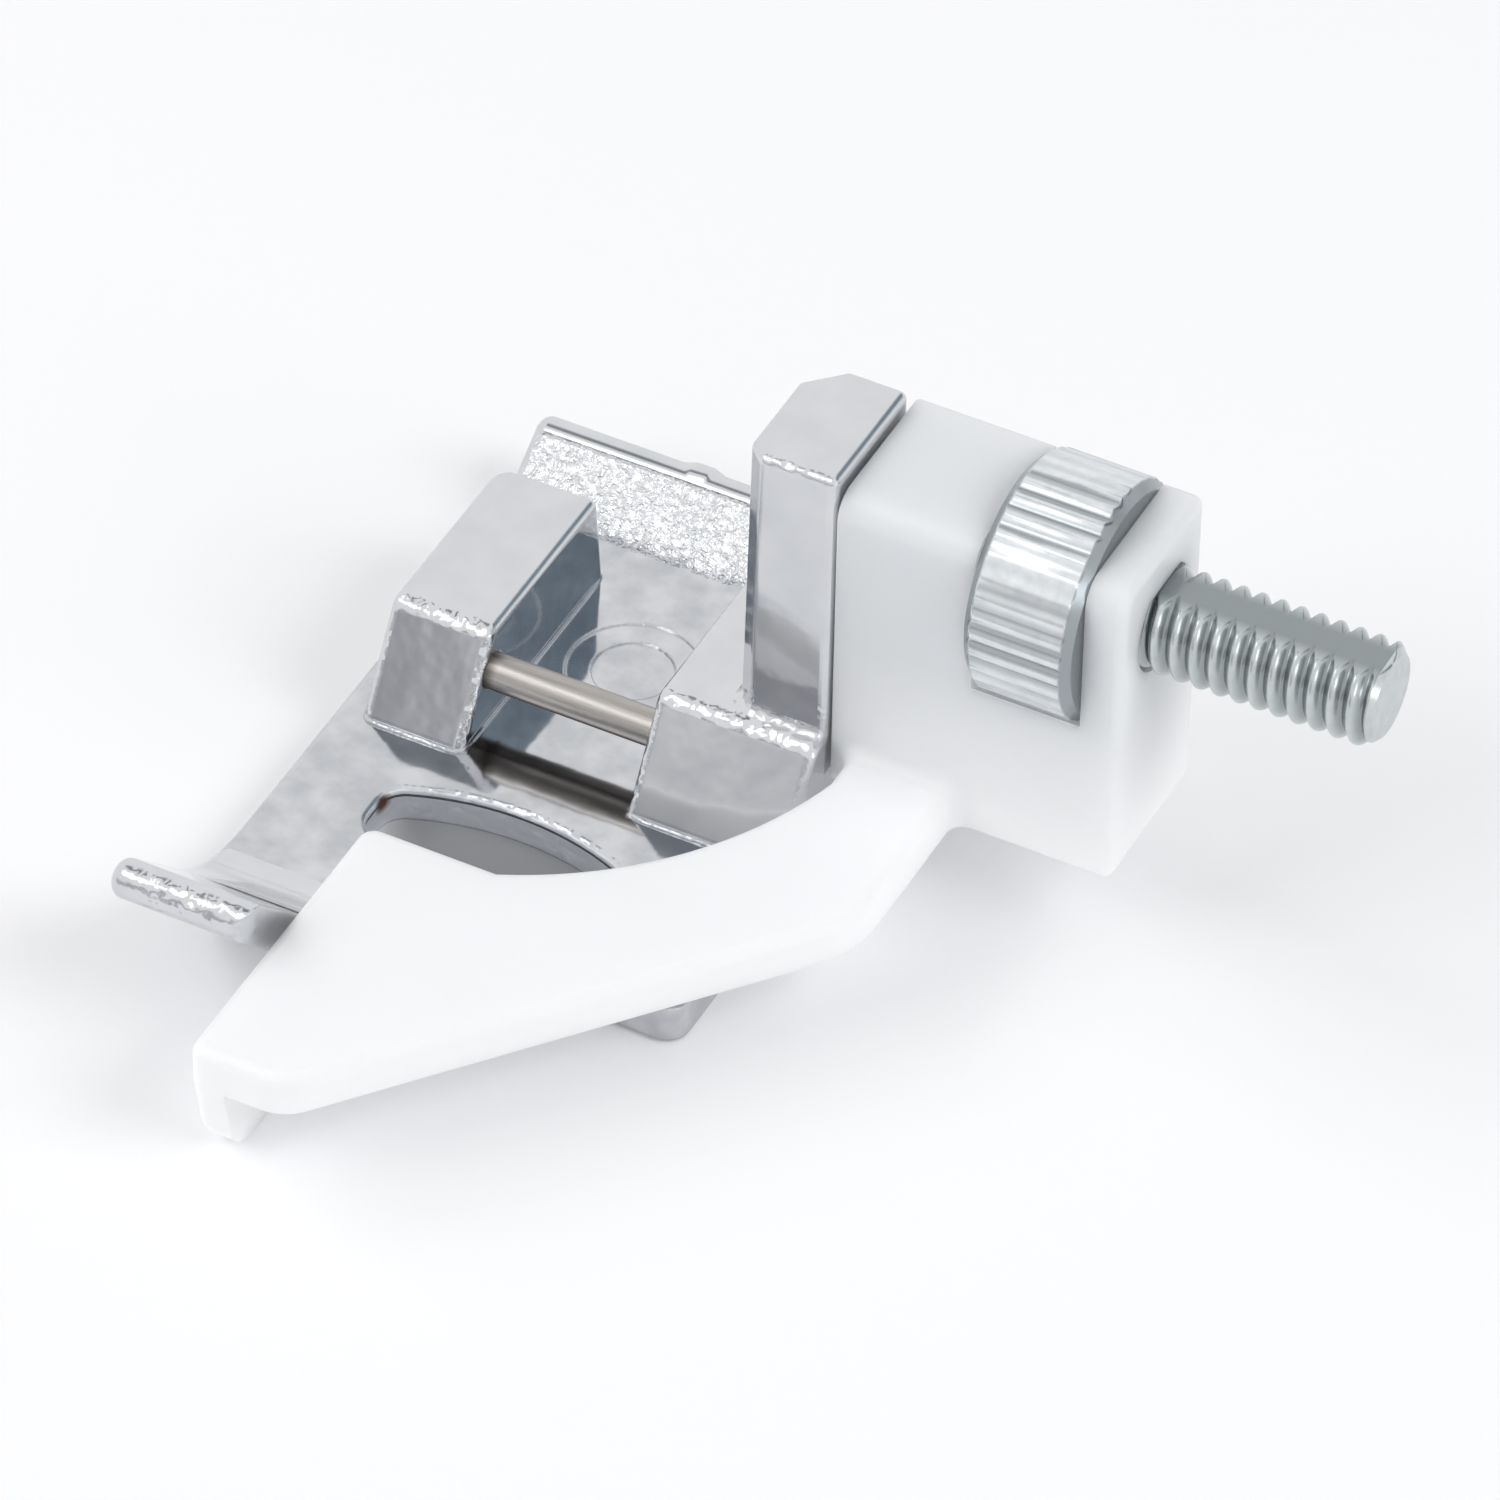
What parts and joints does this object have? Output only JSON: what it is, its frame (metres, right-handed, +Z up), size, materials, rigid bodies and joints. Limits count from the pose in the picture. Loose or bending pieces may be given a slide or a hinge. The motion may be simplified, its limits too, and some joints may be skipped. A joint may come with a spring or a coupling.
{
  "type": "sewing machine presser foot",
  "caption": "Clip-on blind-hem presser foot: a plated sole with a needle slot, and a white hem guide that slides along a screw as the thumb nut in it is turned.",
  "frame": {"origin": "middle of the clip-on pin, half way between the two ears", "axes": "+X along the pin towards the adjusting screw's free end, +Y to the heel, +Z up from the sole"},
  "size_m": [0.0462, 0.0453, 0.0216],
  "materials": {
    "plated_casting": "bright plate on a die casting",
    "pin_steel": "ground and polished",
    "zinc_plated_screw": "satin zinc plate",
    "plated_nut": "satin plate over a straight knurl",
    "white_plastic": "smooth moulded"
  },
  "bodies": {
    "foot": {"foot_casting": "plated_casting", "ankle_pin": "pin_steel", "adjusting_screw": "zinc_plated_screw"},
    "guide": {"hem_guide": "white_plastic"},
    "nut": {"thumb_nut": "plated_nut"}
  },
  "joints": [
    {"name": "guide_slide", "type": "slide", "parent": "foot", "child": "guide", "axis": [1, 0, 0], "range_m": [0, 0.00907]},
    {"name": "nut_turn", "type": "hinge", "parent": "guide", "child": "nut", "pos_m": [0.02088, 0.00508, 0.01161], "axis": [1, 0, 0], "range_deg": [0, 3600]}
  ],
  "couplings": [
    {"joint": "nut_turn", "follows": "guide_slide", "rad_per_m": 6926.3}
  ]
}
